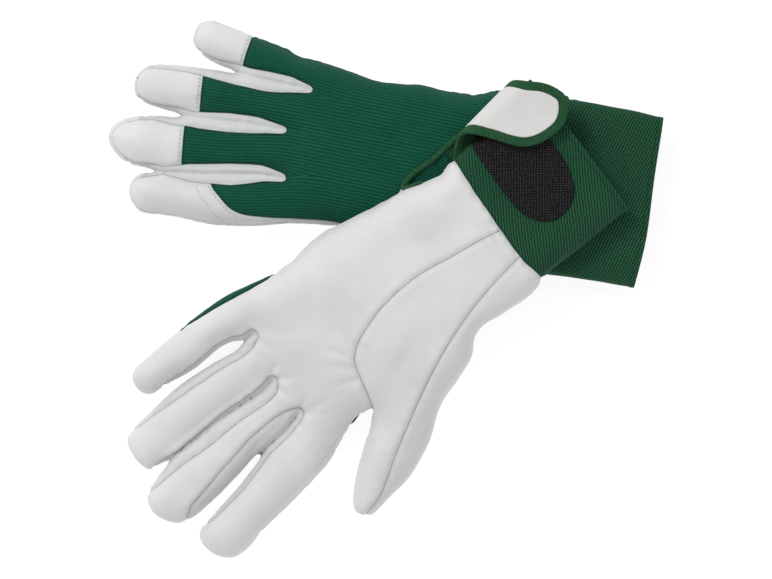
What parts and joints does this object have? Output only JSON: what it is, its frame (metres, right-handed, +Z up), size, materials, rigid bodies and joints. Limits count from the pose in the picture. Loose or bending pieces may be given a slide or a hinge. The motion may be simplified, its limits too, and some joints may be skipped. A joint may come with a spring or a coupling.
{
  "type": "pair of gardening gloves",
  "caption": "Leather-palm gardening gloves with ribbed knit backs, leather fingertips, wide elastic cuffs and hook-and-loop wrist straps, one lying across the other.",
  "frame": {"origin": "the middle of the pair's underside, on the table", "axes": "+X from the fingertips towards the cuffs, +Y towards the right glove's little finger, +Z up from the table"},
  "size_m": [0.2668, 0.2592, 0.0397],
  "materials": {
    "leather": "smooth off-white grain leather, matt with a faint sheen",
    "knit": "fine ribbed dark green knit",
    "elastic": "woven dark green elastic with a small raised weave",
    "binding": "green binding tape with fine cross ribs",
    "loop_pad": "near-black loop pile",
    "hook_pad": "near-black hook tape"
  },
  "bodies": {
    "right_glove": {"right_palm_leather": "leather", "right_thumb_front": "leather", "right_thumb_back": "leather", "right_fourchette_little_ring": "leather", "right_fourchette_ring_middle": "leather", "right_fourchette_middle_index": "leather", "right_back_knit": "knit", "right_tip_cap_little": "leather", "right_tip_cap_ring": "leather", "right_tip_cap_middle": "leather", "right_index_guard": "leather", "right_cuff_elastic": "elastic", "right_slit_binding": "binding", "right_loop_patch": "loop_pad"},
    "left_glove": {"left_palm_leather": "leather", "left_thumb_front": "leather", "left_thumb_back": "leather", "left_fourchette_little_ring": "leather", "left_fourchette_ring_middle": "leather", "left_fourchette_middle_index": "leather", "left_back_knit": "knit", "left_tip_cap_little": "leather", "left_tip_cap_ring": "leather", "left_tip_cap_middle": "leather", "left_index_guard": "leather", "left_cuff_elastic": "elastic", "left_slit_binding": "binding", "left_loop_patch": "loop_pad"},
    "left_strap": {"left_strap_webbing": "elastic", "left_strap_binding": "binding", "left_strap_leather": "leather", "left_strap_hook": "hook_pad"},
    "right_strap": {"right_strap_webbing": "elastic", "right_strap_binding": "binding", "right_strap_leather": "leather", "right_strap_hook": "hook_pad"}
  },
  "joints": [
    {"name": "left_glove_lift", "type": "slide", "parent": "right_glove", "child": "left_glove", "axis": [0, 0, 1], "range_m": [0, 0.15]},
    {"name": "left_strap_fold", "type": "hinge", "parent": "left_glove", "child": "left_strap", "pos_m": [0.04659, 0.08614, 0.02335], "axis": [-0.7803, -0.6254, 0], "range_deg": [-5, 100]},
    {"name": "right_strap_fold", "type": "hinge", "parent": "right_glove", "child": "right_strap", "pos_m": [0.10609, 0.09401, 0.01365], "axis": [0.9802, -0.1979, 0], "range_deg": [0, 120]}
  ]
}
